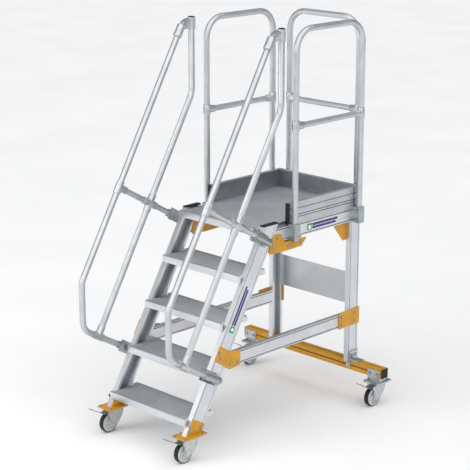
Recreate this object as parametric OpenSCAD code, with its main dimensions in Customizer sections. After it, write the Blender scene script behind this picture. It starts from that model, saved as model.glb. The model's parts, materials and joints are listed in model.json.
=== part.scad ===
// Mobile platform steps: five levels, guarded platform, two stair handrails, four braked castors.
// Millimetres, +X to the right as one faces the steps, +Y the climbing direction, +Z up.
// The origin is on the floor under the middle of the steps' overall box.

/* [Steps] */
// height from one tread to the next
rise = 240; // [200:1:260]
// slope of the stiles from the floor, degrees
slope = 60; // [45:1:70]
// number of treads below the platform
tread_count = 4; // [2:1:6]
// depth of a tread from nose to back
tread_depth = 208; // [160:1:260]
// height of a tread's nose
nose_height = 40; // [25:1:50]
// height of a tread's body behind the nose
tread_body = 30; // [20:1:40]
// spacing of the ribs on treads and deck
rib_pitch = 16; // [8:1:24]

/* [Frame] */
// outside width over the stiles
frame_w = 646; // [500:2:900]
// stile width along the side face
stile_w = 100; // [70:1:120]
// stile and upright thickness
stile_t = 30; // [20:1:40]
// wall of the stile extrusion
stile_wall = 3; // [2:0.5:5]
// depth of a rear upright front to back
upright_d = 88; // [60:1:110]
// front face of the rear uprights
upright_y = 1326; // [1000:1:1600]
// underside of the lower side braces
brace_z = 464; // [300:1:700]
// height of the lower side braces
brace_h = 80; // [50:1:100]
// underside of the deck side beams
beam_z = 1100; // [900:1:1300]
// height of the deck side beams
beam_h = 78; // [60:1:100]

/* [Crossbar and castors] */
// length of the rear crossbar without its end caps
bar_len = 1120; // [800:10:1400]
// side of the square crossbar
bar_s = 58; // [40:1:80]
// underside of the crossbar
bar_z = 175; // [150:1:200]
// castor spread at the back, centre to floor centre line
rear_castor_x = 506; // [350:1:600]
// radius of the castor tyres
tyre_r = 58; // [40:1:65]
// thickness of the rubber on the castor wheels
tyre_t = 6; // [4:1:14]
// width of the castor tyres
tyre_w = 32; // [24:1:40]
// floor to the top of a castor's mounting plate
castor_h = 142; // [120:1:160]
// trail of a castor, from swivel axis to axle
castor_trail = 42; // [25:1:50]

/* [Rails] */
// outside diameter of all rail tubes
tube_d = 35; // [28:1:45]
// wall of the rail tubes
tube_wall = 2.5; // [2:0.5:4]
// bend radius of the guard hoops at the tube's centre line
hoop_r = 120; // [60:1:160]
// centre height of the hoops' top bar
hoop_z = 2271; // [2000:1:2400]
// centre height of the mid rails
mid_z = 1742; // [1500:1:1900]
// distance of the side hoops and handrails from the middle
rail_x = 348; // [330:1:380]
// top of the toe boards
toe_z = 1303; // [1280:1:1350]

/* [Hidden] */
$fn = 48;
eps = 0.01;
half_w = frame_w / 2;
in_w = half_w - stile_t;
going = rise / tan(slope);
deck_z = rise * (tread_count + 1);
deck_y = going * tread_count;
plate_z = castor_h + 8;
nose_gap = 40;
stile_h = stile_w / sin(slope);
back_y = upright_y + upright_d;
bar_y = back_y - bar_s;
bar_cy = bar_y + bar_s / 2;
tube_r = tube_d / 2;
collar = 0.3;
clamp_d = 46;
groove_w = 4;
groove_d = 1.5;
hoop_y0 = 820;
hoop_y1 = 1374;
rear_hoop_x = 270;
rear_hoop_y = back_y + tube_r + 8;
toe_y0 = 800;
toe_t = 30;
front_castor_x = half_w - stile_t / 2;
front_castor_y = -15 + castor_trail;
y_front = -150 - tube_r - collar;
y_rear = back_y + clamp_d;
y_mid = (y_front + y_rear) / 2;
castor_sites = [[-front_castor_x, front_castor_y], [front_castor_x, front_castor_y],
                [-rear_castor_x, bar_cy], [rear_castor_x, bar_cy]];

// front edge of the stiles at height z
function stile_y(z) = nose_gap + (z - rise) / tan(slope);

// a side-view shape, (y, z), stood in the frame from x0 with a thickness along +X
module side(x0, t) {
  translate([x0, 0, 0]) rotate([90, 0, 90]) linear_extrude(height = t) children();
}

module shift() {
  translate([0, -y_mid, 0]) children();
}

module rod_x(r, x0, x1, y, z) {
  translate([x0, y, z]) rotate([0, 90, 0]) cylinder(r = r, h = x1 - x0);
}

module rod_y(r, x, y0, y1, z) {
  translate([x, y0, z]) rotate([-90, 0, 0]) cylinder(r = r, h = y1 - y0);
}

// one straight length of rod from a to b in the side plane x
module side_rod(r, x, a, b) {
  d = b - a;
  n = norm(d);
  translate([x, a[0], a[1]]) rotate([atan2(-d[0], d[1]), 0, 0]) cylinder(r = r, h = n);
}

// a bent rod in the plane x = 0 through the listed (y, z) corners, bend radius br,
// with a short weld collar where each bend meets a straight length
module bent_rod(r, br, pts, over = 0) {
  n = len(pts);
  dirs = [for (i = [0:n - 2]) (pts[i + 1] - pts[i]) / norm(pts[i + 1] - pts[i])];
  turn = [for (i = [0:n - 2]) i == 0 ? 0 :
    atan2(dirs[i - 1][0] * dirs[i][1] - dirs[i - 1][1] * dirs[i][0], dirs[i - 1] * dirs[i])];
  cut = [for (i = [0:n - 1]) i == 0 || i == n - 1 ? -over : br * tan(abs(turn[i]) / 2)];
  for (i = [0:n - 2]) {
    side_rod(r, 0, pts[i] + dirs[i] * cut[i], pts[i + 1] - dirs[i] * cut[i + 1]);
  }
  for (i = [1:n - 2]) {
    s = turn[i] > 0 ? 1 : -1;
    left = [-dirs[i - 1][1], dirs[i - 1][0]];
    a = pts[i] - dirs[i - 1] * cut[i];
    b = pts[i] + dirs[i] * cut[i];
    c = a + left * s * br;
    heading = atan2(dirs[i - 1][1], dirs[i - 1][0]);
    rotate([90, 0, 90]) translate([c[0], c[1], 0])
      rotate([0, 0, s > 0 ? heading - 90 : heading + 90 + turn[i]])
        rotate_extrude(angle = abs(turn[i])) translate([br, 0]) circle(r = r);
    side_rod(r + collar, 0, a - dirs[i - 1] * 3, a + dirs[i - 1] * 3);
    side_rod(r + collar, 0, b - dirs[i] * 3, b + dirs[i] * 3);
  }
}

module bent_tube(br, pts) {
  difference() {
    bent_rod(tube_r, br, pts);
    bent_rod(tube_r - tube_wall, br, pts, 1);
  }
}

module hex_x(x, y, z, s, h = 6, af = 13) {
  translate([x, y, z]) rotate([0, 90 * s, 0]) cylinder(d = af / cos(30), h = h, $fn = 6);
}

module hex_y(x, y, z, s, h = 6, af = 13) {
  translate([x, y, z]) rotate([-90 * s, 0, 0]) cylinder(d = af / cos(30), h = h, $fn = 6);
}

module hex_z(x, y, z, h = 6, af = 13) {
  translate([x, y, z]) cylinder(d = af / cos(30), h = h, $fn = 6);
}

// ---- stiles, uprights and beams ----

// lipped channel, web outside, open towards the middle, two grooves along each edge of the web
module lipped_section(s, width) {
  wall = stile_wall;
  lip = 17;
  mirror([s < 0 ? 1 : 0, 0]) difference() {
    translate([-stile_t, 0]) square([stile_t, width]);
    translate([wall - stile_t, wall]) square([stile_t - 2 * wall, width - 2 * wall]);
    translate([-stile_t - 1, lip]) square([wall + 2, width - 2 * lip]);
    for (y = [9, width - 13]) translate([-groove_d, y]) square([groove_d + 1, groove_w]);
  }
}

module stile(s) {
  color("silver") intersection() {
    translate([s * half_w, stile_y(plate_z), plate_z]) rotate([slope - 90, 0, 0])
      translate([0, 0, -80]) linear_extrude(height = 1500) lipped_section(s, stile_w);
    translate([s > 0 ? in_w - 5 : -half_w - 5, -200, plate_z])
      cube([stile_t + 10, 1500, deck_z + 6 - plate_z]);
  }
}

module upright(s) {
  color("silver") translate([s * half_w, upright_y, bar_z + bar_s])
    linear_extrude(height = beam_z - bar_z - bar_s) lipped_section(s, upright_d);
}

// a horizontal side rail: rectangular tube with a groove near its top and bottom
module side_rail(s, y0, y1, z0, h) {
  x0 = s > 0 ? in_w : -half_w;
  color("silver") difference() {
    translate([x0, y0, z0]) cube([stile_t, y1 - y0, h]);
    translate([x0 + 3, y0 - 1, z0 + 3]) cube([stile_t - 6, y1 - y0 + 2, h - 6]);
    for (z = [z0 + 7, z0 + h - 11]) {
      translate([x0 - 1, y0 - 1, z]) cube([groove_d + 1, y1 - y0 + 2, groove_w]);
      translate([x0 + stile_t - groove_d, y0 - 1, z]) cube([groove_d + 1, y1 - y0 + 2, groove_w]);
    }
  }
}

// a side rail whose front end is cut to the stile's slope
module mitred_rail(s, y1, z0, h) {
  difference() {
    side_rail(s, 0, y1, z0, h);
    side(s > 0 ? in_w - 5 : -half_w - 5, stile_t + 10) polygon([
      [-10, z0 - 10], [stile_y(z0 - 10) + stile_h, z0 - 10],
      [stile_y(z0 + h + 10) + stile_h, z0 + h + 10], [-10, z0 + h + 10]]);
  }
}

module left_stile() { stile(-1); }
module right_stile() { stile(1); }
module left_upright() { upright(-1); }
module right_upright() { upright(1); }
module left_brace() { mitred_rail(-1, upright_y, brace_z, brace_h); }
module right_brace() { mitred_rail(1, upright_y, brace_z, brace_h); }
module left_deck_beam() { mitred_rail(-1, back_y, beam_z, beam_h); }
module right_deck_beam() { mitred_rail(1, back_y, beam_z, beam_h); }

// tubes across the frame under the deck, and the one that closes it at the back
module deck_cross_beams() {
  top = beam_z + beam_h;
  color("silver") for (b = [[deck_y + 190, 48], [1030, 48], [back_y - toe_t, beam_h]]) difference() {
    translate([-in_w, b[0], top - b[1]]) cube([2 * in_w, 30, b[1]]);
    translate([-in_w - 1, b[0] + 3, top - b[1] + 3]) cube([2 * in_w + 2, 24, b[1] - 6]);
  }
}

module rear_crossbar() {
  color("orange") difference() {
    translate([-bar_len / 2, bar_y, bar_z]) cube([bar_len, bar_s, bar_s]);
    translate([-bar_len / 2 - 1, bar_y + 3, bar_z + 3]) cube([bar_len + 2, bar_s - 6, bar_s - 6]);
    for (z = [bar_z + 25]) {
      translate([-bar_len / 2 - 1, bar_y - 1, z]) cube([bar_len + 2, 3, 8]);
      translate([-bar_len / 2 - 1, back_y - 2, z]) cube([bar_len + 2, 3, 8]);
    }
    for (y = [bar_y + 25]) translate([-bar_len / 2 - 1, y, bar_z + bar_s - 2]) cube([bar_len + 2, 8, 3]);
  }
}

// flat black caps on the stile tops, crossbar ends and handrail tops
module black_caps() {
  color("black") {
    for (x0 = [-half_w, in_w]) {
      translate([x0 - 1, stile_y(deck_z + 6) - 1, deck_z + 6]) cube([stile_t + 2, stile_h + 2, 7]);
    }
    for (s = [-1, 1]) {
      translate([s > 0 ? bar_len / 2 : -bar_len / 2 - 4, bar_y, bar_z]) cube([4, bar_s, bar_s]);
    }
    for (s = [-1, 1]) translate([s * rail_x, 700, 2289]) cylinder(r = tube_r, h = 4);
  }
}

// ---- treads and deck ----

// tread side view: ribbed top, deeper nose in front, shallower rib at the back
function rib_tops(y0, y1, z) = [for (y = [y0:rib_pitch:y1 - rib_pitch])
  for (p = [[0, 0], [rib_pitch / 2, 0], [rib_pitch / 2, -2], [rib_pitch, -2]]) [y + p[0], z + p[1]]];

module tread(k) {
  y = k * going;
  z = rise * (k + 1);
  color("gainsboro") union() {
    side(-in_w, 2 * in_w) polygon(concat(
      [[y, z - nose_height], [y, z - 4], [y + 4, z]],
      rib_tops(y + 12, y + tread_depth - 8, z),
      [[y + tread_depth, z], [y + tread_depth, z - tread_body], [y + tread_depth - 12, z - tread_body],
       [y + tread_depth - 12, z - 8], [y + 12, z - 8], [y + 12, z - nose_height]]));
    for (x0 = [-in_w - 14, in_w - eps]) {
      side(x0, 14 + eps) polygon([[y, z - nose_height], [y, z - 4], [y + 4, z], [y + 14, z],
        [y + 14, z - nose_height]]);
      if (z <= brace_z || z - tread_body >= brace_z + brace_h) side(x0, 14 + eps)
        polygon([[y + 170, z], [y + tread_depth, z], [y + tread_depth, z - tread_body],
          [y + 170, z - tread_body]]);
    }
  }
}

module tread_1() { tread(0); }
module tread_2() { tread(1); }
module tread_3() { tread(2); }
module tread_4() { tread(3); }

// end brackets that carry each tread on the stiles' inner faces
module tread_brackets() {
  color("gray") for (k = [0:tread_count - 1], s = [-1, 1]) {
    y = k * going;
    z = rise * (k + 1);
    x = s > 0 ? in_w - 4 : -in_w;
    side(x, 4) polygon([[y + 40, z - 8], [y + 168, z - 8], [y + 140, z - 48], [y + 36, z - 48]]);
    translate([s > 0 ? in_w - 32 : -in_w, y + 40, z - 12]) cube([32, 128, 4]);
  }
}

// hollow planks laid across the frame, ribbed on top, with a deeper nose in front
module deck() {
  y0 = deck_y;
  z = deck_z;
  y1 = back_y - toe_t;
  cell = 2 * rib_pitch;
  color("gainsboro") union() {
    side(-in_w, 2 * in_w) difference() {
      polygon(concat(
        [[y0, z - nose_height], [y0, z - 6], [y0 + 6, z]], rib_tops(y0 + 14, y1 - 14, z),
        [[y1, z], [y1, z - 22], [y0 + 14, z - 22], [y0 + 14, z - nose_height]]));
      for (y = [y0 + 20:cell:y1 - cell]) translate([y, z - 19]) square([cell - 3, 13]);
    }
    for (x0 = [-in_w - 14, in_w - eps]) {
      side(x0, 14 + eps) polygon([[y0, z - nose_height], [y0, z - 6], [y0 + 6, z], [y0 + 14, z],
        [y0 + 14, z - nose_height]]);
    }
  }
}

module rear_panel() {
  color("lightgray") translate([-in_w - 20, back_y, 562]) cube([2 * in_w + 40, 3, 195]);
}

// ---- toe boards ----

// toe board section, upright board with three shallow bands on the outer face
module toe_section(h) {
  difference() {
    square([toe_t, h]);
    translate([3, 3]) square([toe_t - 6, h - 6]);
    for (z = [36, 50, 86]) translate([toe_t - groove_d, z]) square([groove_d + 1, groove_w]);
  }
}

module toe_board_left() {
  color("silver") translate([-in_w, toe_y0 + 4, beam_z + beam_h]) rotate([90, 0, 180])
    linear_extrude(height = back_y - 4 - toe_y0 - 4) toe_section(toe_z - beam_z - beam_h);
}

module toe_board_right() {
  color("silver") translate([in_w, back_y - 4, beam_z + beam_h]) rotate([90, 0, 0])
    linear_extrude(height = back_y - 4 - toe_y0 - 4) toe_section(toe_z - beam_z - beam_h);
}

module toe_board_rear() {
  color("silver") translate([-in_w, back_y - toe_t, beam_z + beam_h]) rotate([90, 0, 90])
    linear_extrude(height = 2 * in_w) toe_section(toe_z - beam_z - beam_h);
}

module toe_board_ends() {
  h = toe_z - beam_z - beam_h;
  color("black") for (x0 = [-half_w, in_w]) {
    translate([x0, toe_y0, beam_z + beam_h]) cube([toe_t, 4, h]);
    translate([x0, back_y - 4, beam_z + beam_h]) cube([toe_t, 4, h]);
  }
}

// ---- guard hoops ----

module hoop_side(s) {
  z0 = beam_z + 4;
  color("silver") translate([s * rail_x, 0, 0])
    bent_tube(hoop_r, [[hoop_y0, z0], [hoop_y0, hoop_z], [hoop_y1, hoop_z], [hoop_y1, z0]]);
}

module guard_hoop_left() { hoop_side(-1); }
module guard_hoop_right() { hoop_side(1); }
module guard_hoop_rear() {
  z0 = beam_z + 4;
  color("silver") translate([0, rear_hoop_y, 0]) rotate([0, 0, -90])
    bent_tube(hoop_r, [[-rear_hoop_x, z0], [-rear_hoop_x, hoop_z], [rear_hoop_x, hoop_z], [rear_hoop_x, z0]]);
}

module guard_mid_rails() {
  color("silver") {
    for (s = [-1, 1]) difference() {
      rod_y(tube_r - 1, s * rail_x, hoop_y0 + tube_r + 0.2, hoop_y1 - tube_r - 0.2, mid_z);
      rod_y(tube_r - 1 - tube_wall, s * rail_x, hoop_y0, hoop_y1, mid_z);
    }
    difference() {
      rod_x(tube_r - 1, -rear_hoop_x + tube_r + 0.2, rear_hoop_x - tube_r - 0.2, rear_hoop_y, mid_z);
      rod_x(tube_r - 1 - tube_wall, -rear_hoop_x, rear_hoop_x, rear_hoop_y, mid_z);
    }
  }
}

// tee fitting: a short sleeve round the post and a socket round the mid rail's end
module guard_fittings() {
  r = tube_r + 3.5;
  h = 62;
  color("lightgray") {
    for (s = [-1, 1], q = [[hoop_y0, 1], [hoop_y1, -1]]) difference() {
      union() {
        translate([s * rail_x, q[0], mid_z - h / 2]) cylinder(r = r, h = h);
        rod_y(r, s * rail_x, min(q[0], q[0] + q[1] * 55), max(q[0], q[0] + q[1] * 55), mid_z);
      }
      translate([s * rail_x, q[0], mid_z - h]) cylinder(r = tube_r, h = 2 * h);
      rod_y(tube_r - 1, s * rail_x, q[0] - 60, q[0] + 60, mid_z);
    }
    for (q = [-1, 1]) difference() {
      union() {
        translate([q * rear_hoop_x, rear_hoop_y, mid_z - h / 2]) cylinder(r = r, h = h);
        rod_x(r, min(q * rear_hoop_x, q * (rear_hoop_x - 55)), max(q * rear_hoop_x, q * (rear_hoop_x - 55)),
          rear_hoop_y, mid_z);
      }
      translate([q * rear_hoop_x, rear_hoop_y, mid_z - h]) cylinder(r = tube_r, h = 2 * h);
      rod_x(tube_r - 1, q * rear_hoop_x - 60, q * rear_hoop_x + 60, rear_hoop_y, mid_z);
    }
  }
}

// block clamps that hold the hoops' posts on the deck beams
module guard_clamps() {
  color("lightslategray") {
    for (s = [-1, 1], y = [hoop_y0, hoop_y1]) difference() {
      translate([s > 0 ? half_w : -half_w - clamp_d, y - 24, beam_z - 8]) cube([clamp_d, 48, 96]);
      translate([s * rail_x, y, beam_z + 4]) cylinder(r = tube_r, h = 120);
    }
    for (x = [-rear_hoop_x, rear_hoop_x]) difference() {
      translate([x - 24, back_y, beam_z - 8]) cube([48, clamp_d, 96]);
      translate([x, rear_hoop_y, beam_z + 4]) cylinder(r = tube_r, h = 120);
    }
  }
}

// ---- stair handrails ----

// direction square to the stile, pointing back and down
across = [sin(slope), -cos(slope)];
along = [cos(slope), sin(slope)];
outer_p = [188, 1494];
low_p = [-42, 570];
inner_p = on_line(low_p, 967);
mid_p = [133, 1399];
top_p = [700, 2289];

function on_line(p, z) = [p[0] + (z - p[1]) / tan(slope), z];

// where the low rail's line leaves the bend, and its end in the lower saddle
low_start = low_p - across * 60;
low_end = low_p + across * 292;
mid_start = on_line(outer_p, 1399);
mid_len = 545;

module handrail_outer(s) {
  knee = [-150, outer_p[1] - (outer_p[0] + 150) * tan(slope)];
  foot = [-150, low_p[1] + (low_p[0] + 150) / tan(slope)];
  color("silver") translate([s * rail_x, 0, 0])
    bent_tube(90, [on_line(outer_p, 2235), knee, foot, low_end]);
}

module handrail_inner(s) {
  elbow = [700, inner_p[1] + (700 - inner_p[0]) * tan(slope)];
  start = low_p + along * (tube_r + 0.2);
  color("silver") translate([s * rail_x, 0, 0])
    bent_tube(110, [[700, 2288.8], elbow, start]);
}

module handrail_cross(s) {
  a = mid_start + across * (tube_r + 0.2);
  b = mid_start + across * mid_len;
  i = inner_hit();
  color("silver") difference() {
    side_rod(tube_r - 1, s * rail_x, a, b);
    side_rod(tube_r - 1 - tube_wall, s * rail_x, a - across, b + across);
    side_rod(tube_r + 0.2, s * rail_x, i - along * 60, i + along * 60);
  }
}

// where the cross tube's line meets the inner tube's line
function inner_hit() = inner_p + along * ((mid_start - inner_p) * along);

module handrail_left() { handrail_outer(-1); }
module handrail_right() { handrail_outer(1); }
module handrail_inner_left() { handrail_inner(-1); }
module handrail_inner_right() { handrail_inner(1); }
module handrail_cross_tubes() {
  handrail_cross(-1);
  handrail_cross(1);
}

// cast tee, cross and top fittings on the handrail tubes
module handrail_fittings() {
  r = tube_r + 4;
  i = inner_hit();
  top_a = on_line(outer_p, 2235);
  color("lightgray") for (s = [-1, 1]) {
    x = s * rail_x;
    // tee on the outer tube
    difference() {
      union() {
        side_rod(r, x, mid_start - along * 36, mid_start + along * 36);
        side_rod(r - 0.5, x, mid_start, mid_start + across * 58);
      }
      side_rod(tube_r + 0.05, x, mid_start - along * 60, mid_start + along * 60);
      side_rod(tube_r - 1, x, mid_start, mid_start + across * 70);
    }
    // cross on the inner tube
    difference() {
      union() {
        side_rod(r, x, i - along * 52, i + along * 52);
        side_rod(r - 0.5, x, i - across * 52, i + across * 52);
      }
      side_rod(tube_r + 0.1, x, i - along * 70, i + along * 70);
      side_rod(tube_r - 1, x, i - across * 70, i + across * 70);
    }
    // tee on the low tube
    difference() {
      union() {
        side_rod(r, x, low_p - across * 36, low_p + across * 36);
        side_rod(r - 0.5, x, low_p, low_p + along * 62);
      }
      side_rod(tube_r + 0.25, x, low_p - across * 60, low_p + across * 60);
      side_rod(tube_r + 0.05, x, low_p, low_p + along * 80);
    }
    // top: sleeve round the upright tube, sleeve round the sloping tube, neck between
    difference() {
      union() {
        translate([x, 700, 2222]) cylinder(r = r + 2, h = 67);
        side_rod(r + 2, x, top_a - along * 42, top_a + along * 16);
        side_rod(r + 4, x, top_a - along * 52, top_a - along * 40);
        side(x - 15, 30) polygon([[600, 2218], [700, 2236], [700, 2283], [660, 2283], [630, 2268]]);
      }
      translate([x, 700, 2200]) cylinder(r = tube_r + 0.1, h = 200);
      side_rod(tube_r + 0.1, x, top_a - along * 80, top_a);
    }
  }
}

// saddle clamps that hold the cross and low tubes on the stiles' outer faces
module handrail_saddles() {
  g = rail_x - half_w;
  lean = slope - 90;
  ends = [[low_end, tube_r], [mid_start + across * mid_len, tube_r - 1]];
  color("lightsteelblue") for (s = [-1, 1], p = ends)
    difference() {
      union() {
        translate([s * half_w, p[0][0], p[0][1]]) rotate([lean, 0, 0])
          translate([s > 0 ? 0 : -8, -124, -34]) cube([8, 136, 68]);
        translate([s * half_w, p[0][0], p[0][1]]) rotate([lean, 0, 0])
          translate([s > 0 ? 0 : -g - 12, -120, -tube_r - 4]) cube([g + 12, 128, tube_d + 8]);
        side_rod(tube_r + 4.5, s * rail_x, p[0] - across * 118, p[0] + across * 12);
      }
      side_rod(p[1], s * rail_x, p[0] - across * 140, p[0]);
    }
}

// ---- orange plates ----

// bracket under each stile: floor plate with a side plate on each face of the stile
module front_castor_brackets() {
  z = plate_z;
  foot = stile_y(z);
  top = [stile_y(z + 90) + 3, z + 90];
  color("orange") for (s = [-1, 1]) {
    x = s * front_castor_x;
    union() {
      translate([x - 53, -50, z - 8]) cube([106, 169, 8]);
      side(s > 0 ? half_w : -half_w - 6, 6) polygon([[foot + 3, z - eps], [foot + stile_h + 4, z - eps],
        top + across * 99, top]);
      side(s > 0 ? in_w - 6 : -in_w, 6) polygon([[foot + 3, z - eps], [foot + stile_h + 4, z - eps],
        [foot + stile_h + 14, z + 20], [foot + 72, z + 38], [foot + 25, z + 38]]);
    }
  }
}

// plates over the joints of stiles and lower side braces
module brace_gussets() {
  color("orange") for (s = [-1, 1]) side(s > 0 ? half_w : -half_w - 6, 6) polygon([
    [stile_y(606), 606], [326, 558], [406, 545], [406, 460], [322, 452], [stile_y(530) , 530]]);
}

// plates that wrap the joints of lower side braces and rear uprights
module brace_brackets() {
  color("orange") for (s = [-1, 1]) {
    side(s > 0 ? half_w : -half_w - 6, 6) polygon([
      [1238, 556], [back_y + 6, 560], [back_y + 6, 460], [1238, 458]]);
    translate([s > 0 ? half_w - 40 : -half_w, back_y, 460]) cube([40, 6, 100]);
  }
}

// kneed plates that tie stile tops to deck beams, and the rear corner gussets
module deck_brackets() {
  color("orange") {
    for (s = [-1, 1], side_in = [0, 1]) {
      x0 = s > 0 ? (side_in == 0 ? half_w : in_w - 6) : (side_in == 0 ? -half_w - 6 : -in_w);
      side(x0, 6) polygon([[687, 1149], [733, 1143], [756, 1091.5], [872, 1089], [943, 1087],
        [900, 1042], [757, 1038], [636, 1042], [650, 1119]]);
    }
    for (s = [-1, 1]) side(s > 0 ? in_w - 6 : -in_w, 6) polygon([
      [1206, beam_z - eps], [upright_y + 20, beam_z - eps], [upright_y + 20, 985], [1300, 985]]);
  }
}

// ---- galvanised fittings ----

module foot_brackets() {
  z = bar_z + bar_s;
  color("lightgray") for (s = [-1, 1]) {
    x = s > 0 ? half_w : -half_w - 6;
    translate([x, upright_y + 14, z]) cube([6, upright_d - 14, 62]);
    translate([s > 0 ? half_w : -half_w - 56, bar_y, z]) cube([56, bar_s, 6]);
    union() {
      translate([s > 0 ? in_w : -half_w, bar_y - 6, z - 46]) cube([stile_t, 6, 46]);
      translate([s > 0 ? in_w : -half_w, upright_y, z - 6]) cube([stile_t, bar_y - upright_y, 6]);
    }
  }
}

// clamps that hang the rear castors' plates from the crossbar
module rear_castor_clamps() {
  color("lightgray") for (s = [-1, 1]) {
    x = s * rear_castor_x;
    union() {
      translate([x - 55, bar_cy - 62, castor_h]) cube([110, 132, 8]);
      translate([x - 45, bar_cy - 34, castor_h + 8 - eps]) cube([90, 68, bar_z - castor_h - 8 + eps]);
      translate([x - 45, bar_y - 6, bar_z - 4]) cube([90, 6, bar_s - 4]);
      translate([x - 45, back_y, bar_z - 4]) cube([90, 6, bar_s - 4]);
    }
  }
}

module frame_bolts() {
  z = plate_z;
  color("dimgray") {
    for (s = [-1, 1]) {
      xo = s * (half_w + 6);
      for (p = [[18, 178], [18, 205], [98, 176], [246, 566], [252, 530], [330, 480], [386, 478],
        [1262, 530], [1262, 482], [1380, 534], [1380, 484],
        [664, 1078], [702, 1124], [790, 1062], [890, 1066]])
        hex_x(xo, p[0], p[1], s);
      for (y = [-36, 104], dx = [-40, 40]) hex_z(s * front_castor_x + dx, y, z, 7);
      for (y = [bar_cy - 50, bar_cy + 54], dx = [-42, 42]) hex_z(s * rear_castor_x + dx, y, castor_h + 8, 7);
      for (dx = [-28, 28]) {
        hex_y(s * rear_castor_x + dx, bar_y - 6, bar_z + 24, -1);
        hex_y(s * rear_castor_x + dx, back_y + 6, bar_z + 24, 1);
      }
      hex_x(xo, upright_y + 34, bar_z + bar_s + 34, s);
      hex_x(xo, upright_y + 64, bar_z + bar_s + 34, s);
      hex_z(s * (half_w + 32), bar_cy, bar_z + bar_s + 6, 7);
      for (p = [low_end, mid_start + across * mid_len], q = [-100, -20], w = [-28, 28])
        translate([s * half_w, p[0], p[1]]) rotate([-(90 - slope), 0, 0])
          hex_x(s * 8, q, w, s, 5, 10);
    }
  }
}

// ---- castors ----

module castor_top_plates() {
  z = castor_h;
  color("lightgray") for (c = castor_sites) translate([c[0], c[1], 0]) difference() {
    union() {
      translate([-52, -62, z - 4]) cube([104, 124, 4]);
      translate([0, 0, z - 12]) cylinder(r = 34, h = 8 + eps);
      translate([0, 0, z - 26]) cylinder(r = 7.95, h = 20);
      translate([0, 0, z - 26]) cylinder(r = 13, h = 6.5);
    }
    translate([0, 0, z - 27]) cylinder(r = 3, h = 5);
  }
}

// swivelling fork, raceway ring, two raking legs and the axle through them
module fork(i) {
  c = castor_sites[i];
  z = castor_h;
  t = castor_trail;
  color("lightgray") translate([c[0], c[1], 0]) {
    difference() {
      union() {
        translate([0, 0, z - 19]) cylinder(r = 36, h = 6.6);
        translate([-26, -40, z - 19]) cube([52, 40, 4]);
        for (x0 = [-26, 22]) side(x0, 4) polygon([[-64, z - 15.2], [44, z - 15.2], [49, z - 22], [47, z - 38],
          [34, z - 62], [12, z - 90], [-18, tyre_r - 22], [-t - 2, tyre_r - 22], [-t - 14, tyre_r - 14],
          [-t - 17, tyre_r], [-t - 12, tyre_r + 16], [-t - 12, z - 36], [-64, z - 30]]);
      }
      translate([0, 0, z - 20]) cylinder(r = 8.02, h = 10);
      rod_x(6, -40, 40, -t, tyre_r);
    }
    rod_x(5.95, -32, 32, -t, tyre_r);
    hex_x(26.02, -t, tyre_r, 1, 7, 17);
    hex_x(-26.02, -t, tyre_r, -1, 7, 17);
    rod_x(3.4, -25, 25, -50, z - 19.5);
  }
}

module wheel_core(i) {
  c = castor_sites[i];
  r = tyre_r - tyre_t;
  color("lightgray") translate([c[0], c[1] - castor_trail, tyre_r]) rotate([0, 90, 0]) difference() {
    union() {
      translate([0, 0, -21]) cylinder(r = 14, h = 42);
      translate([0, 0, -8]) cylinder(r = r - 4, h = 16);
      difference() {
        translate([0, 0, -15]) cylinder(r = r, h = 30);
        translate([0, 0, -16]) cylinder(r = r - 9, h = 32);
      }
      for (a = [0:60:300]) rotate([0, 0, a]) translate([10, -2, -11]) cube([r - 16, 4, 22]);
    }
    translate([0, 0, -30]) cylinder(r = 6.02, h = 60);
  }
}

module tyre(i) {
  c = castor_sites[i];
  w = tyre_w / 2;
  color("black") translate([c[0], c[1] - castor_trail, tyre_r]) rotate([0, 90, 0])
    rotate_extrude() polygon([[tyre_r - tyre_t, -w + 1],
      [tyre_r - 3, -w], [tyre_r - 1, -w + 2], [tyre_r, -w + 5],
      [tyre_r, w - 5], [tyre_r - 1, w - 2], [tyre_r - 3, w], [tyre_r - tyre_t, w - 1]]);
}

// brake pedal on a cross pin at the front of the fork
module pedal(i) {
  c = castor_sites[i];
  z = castor_h - 19.5;
  color("lightgray") translate([c[0], c[1], 0]) difference() {
    union() {
      rod_x(5.5, -21, 21, -50, z);
      side(-20, 40) polygon([[-52, z - 3], [-52, z + 1], [-87, z + 1.5], [-161, z + 45], [-172, z + 48],
        [-172, z + 45.5], [-162, z + 42], [-88, z - 2]]);
    }
    rod_x(3.45, -30, 30, -50, z);
  }
}

module front_left_fork() { fork(0); }
module front_right_fork() { fork(1); }
module rear_left_fork() { fork(2); }
module rear_right_fork() { fork(3); }
module front_left_wheel() { wheel_core(0); }
module front_right_wheel() { wheel_core(1); }
module rear_left_wheel() { wheel_core(2); }
module rear_right_wheel() { wheel_core(3); }
module front_left_tyre() { tyre(0); }
module front_right_tyre() { tyre(1); }
module rear_left_tyre() { tyre(2); }
module rear_right_tyre() { tyre(3); }
module front_left_pedal() { pedal(0); }
module front_right_pedal() { pedal(1); }
module rear_left_pedal() { pedal(2); }
module rear_right_pedal() { pedal(3); }

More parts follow.
